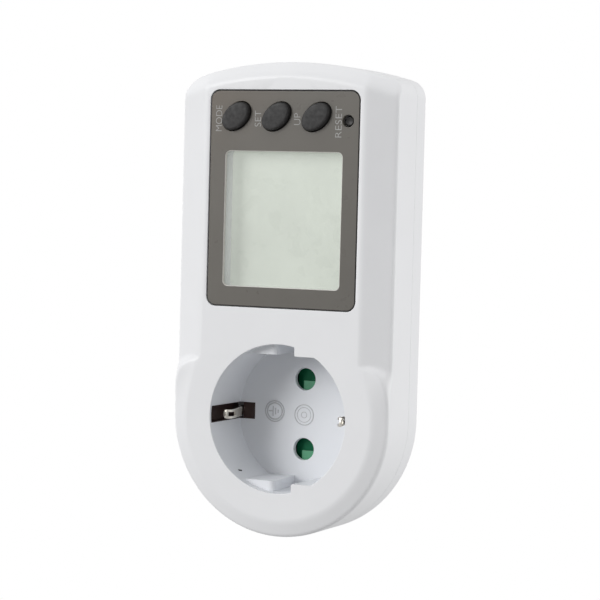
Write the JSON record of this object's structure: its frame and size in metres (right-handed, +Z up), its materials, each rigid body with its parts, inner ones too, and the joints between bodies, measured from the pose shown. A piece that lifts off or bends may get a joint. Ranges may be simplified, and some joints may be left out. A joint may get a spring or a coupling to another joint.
{
  "type": "plug-in power meter",
  "caption": "White plug-in power meter: earthed round socket and key-operated display on the front, matching pin plug on the back.",
  "frame": {"origin": "centre of the rear plug's end face, midway between its two pins", "axes": "+Z up towards the arched top, +Y into the wall along the plug pins, so the socket and display face -Y"},
  "size_m": [0.0628, 0.0598, 0.1255],
  "materials": {
    "shell_white": "satin",
    "bezel_plastic": "semi-gloss",
    "window_clear": "polished",
    "lcd": "smooth",
    "reflector_foil": "matte",
    "holder_plastic": "matte",
    "zebra_rubber": "matte",
    "board_green": "satin",
    "resin_black": "satin",
    "steel_plain": "satin",
    "cell_steel": "satin",
    "key_rubber": "matte, speckled",
    "carbon_pill": "matte",
    "film_capacitor": "gloss",
    "capacitor_sleeve": "gloss",
    "varistor_blue": "gloss",
    "fuse_glass": "polished",
    "resistor_tan": "gloss",
    "shunt_alloy": "satin",
    "shutter_green": "satin",
    "carrier_plastic": "matte",
    "contact_brass": "satin",
    "pin_nickel": "satin",
    "clip_nickel": "satin",
    "wire_blue": "satin",
    "shroud_brown": "matte",
    "label_foil": "satin"
  },
  "bodies": {
    "casing": {"front_shell": "shell_white", "rear_shell": "shell_white", "display_bezel": "bezel_plastic", "display_lens": "window_clear", "lcd_glass": "lcd", "lcd_reflector": "reflector_foil", "lcd_holder": "holder_plastic", "zebra_strip_top": "zebra_rubber", "zebra_strip_bottom": "zebra_rubber", "display_board": "board_green", "controller_chip": "resin_black", "timing_crystal": "steel_plain", "backup_cell": "cell_steel", "cell_clip": "steel_plain", "keypad_base": "key_rubber", "reset_switch": "resin_black", "power_board": "board_green", "dropper_capacitor": "film_capacitor", "smoothing_capacitor": "capacitor_sleeve", "surge_varistor": "varistor_blue", "fuse_link": "fuse_glass", "rectifier_diodes": "resin_black", "power_resistors": "resistor_tan", "shunt_resistor": "shunt_alloy", "metering_chip": "resin_black", "board_link": "resin_black", "shutter_spring": "steel_plain", "contact_carrier": "carrier_plastic", "contact_line": "contact_brass", "contact_neutral": "contact_brass", "plug_pin_line": "pin_nickel", "plug_pin_neutral": "pin_nickel", "line_feed_strap": "contact_brass", "neutral_sense_wire": "wire_blue", "earth_bridge": "clip_nickel", "clip_shroud_left": "shroud_brown", "clip_shroud_right": "shroud_brown", "casing_screws": "steel_plain", "display_board_screws": "steel_plain", "power_board_screws": "steel_plain", "rating_label": "label_foil"},
    "key_mode": {"button_mode": "key_rubber", "contact_pill_mode": "carbon_pill"},
    "key_set": {"button_set": "key_rubber", "contact_pill_set": "carbon_pill"},
    "key_up": {"button_up": "key_rubber", "contact_pill_up": "carbon_pill"},
    "reset_pin": {"button_reset": "key_rubber"},
    "pin_shutter": {"shutter": "shutter_green"},
    "clip_left": {"socket_earth_clip_left": "clip_nickel"},
    "clip_right": {"socket_earth_clip_right": "clip_nickel"},
    "plug_contact_left": {"plug_earth_contact_left": "clip_nickel"},
    "plug_contact_right": {"plug_earth_contact_right": "clip_nickel"}
  },
  "joints": [
    {"name": "mode_press", "type": "slide", "parent": "casing", "child": "key_mode", "axis": [0, 1, 0], "range_m": [0, 0.0011], "stiffness_N_per_m": 800, "springref_m": -0.0005},
    {"name": "set_press", "type": "slide", "parent": "casing", "child": "key_set", "axis": [0, 1, 0], "range_m": [0, 0.0011], "stiffness_N_per_m": 800, "springref_m": -0.0005},
    {"name": "up_press", "type": "slide", "parent": "casing", "child": "key_up", "axis": [0, 1, 0], "range_m": [0, 0.0011], "stiffness_N_per_m": 800, "springref_m": -0.0005},
    {"name": "reset_press", "type": "slide", "parent": "casing", "child": "reset_pin", "axis": [0, 1, 0], "range_m": [0, 0.0004], "stiffness_N_per_m": 1500, "springref_m": -0.0003},
    {"name": "shutter_slide", "type": "slide", "parent": "casing", "child": "pin_shutter", "axis": [-1, 0, 0], "range_m": [0, 0.0066], "stiffness_N_per_m": 120, "springref_m": -0.001, "deforming": ["shutter_spring"]},
    {"name": "clip_left_flex", "type": "hinge", "parent": "casing", "child": "clip_left", "pos_m": [-0.01735, -0.0186, 0], "axis": [0, 0, -1], "range_deg": [0, 4.5], "stiffness_Nm_per_rad": 0.5, "springref_deg": -1.15},
    {"name": "clip_right_flex", "type": "hinge", "parent": "casing", "child": "clip_right", "pos_m": [0.01735, -0.0186, 0], "axis": [0, 0, 1], "range_deg": [0, 4.5], "stiffness_Nm_per_rad": 0.5, "springref_deg": -1.15},
    {"name": "plug_contact_left_flex", "type": "hinge", "parent": "casing", "child": "plug_contact_left", "pos_m": [-0.0174, -0.01695, 0], "axis": [0, 0, -1], "range_deg": [0, 3], "stiffness_Nm_per_rad": 0.5, "springref_deg": -1.15},
    {"name": "plug_contact_right_flex", "type": "hinge", "parent": "casing", "child": "plug_contact_right", "pos_m": [0.0174, -0.01695, 0], "axis": [0, 0, 1], "range_deg": [0, 3], "stiffness_Nm_per_rad": 0.5, "springref_deg": -1.15}
  ]
}
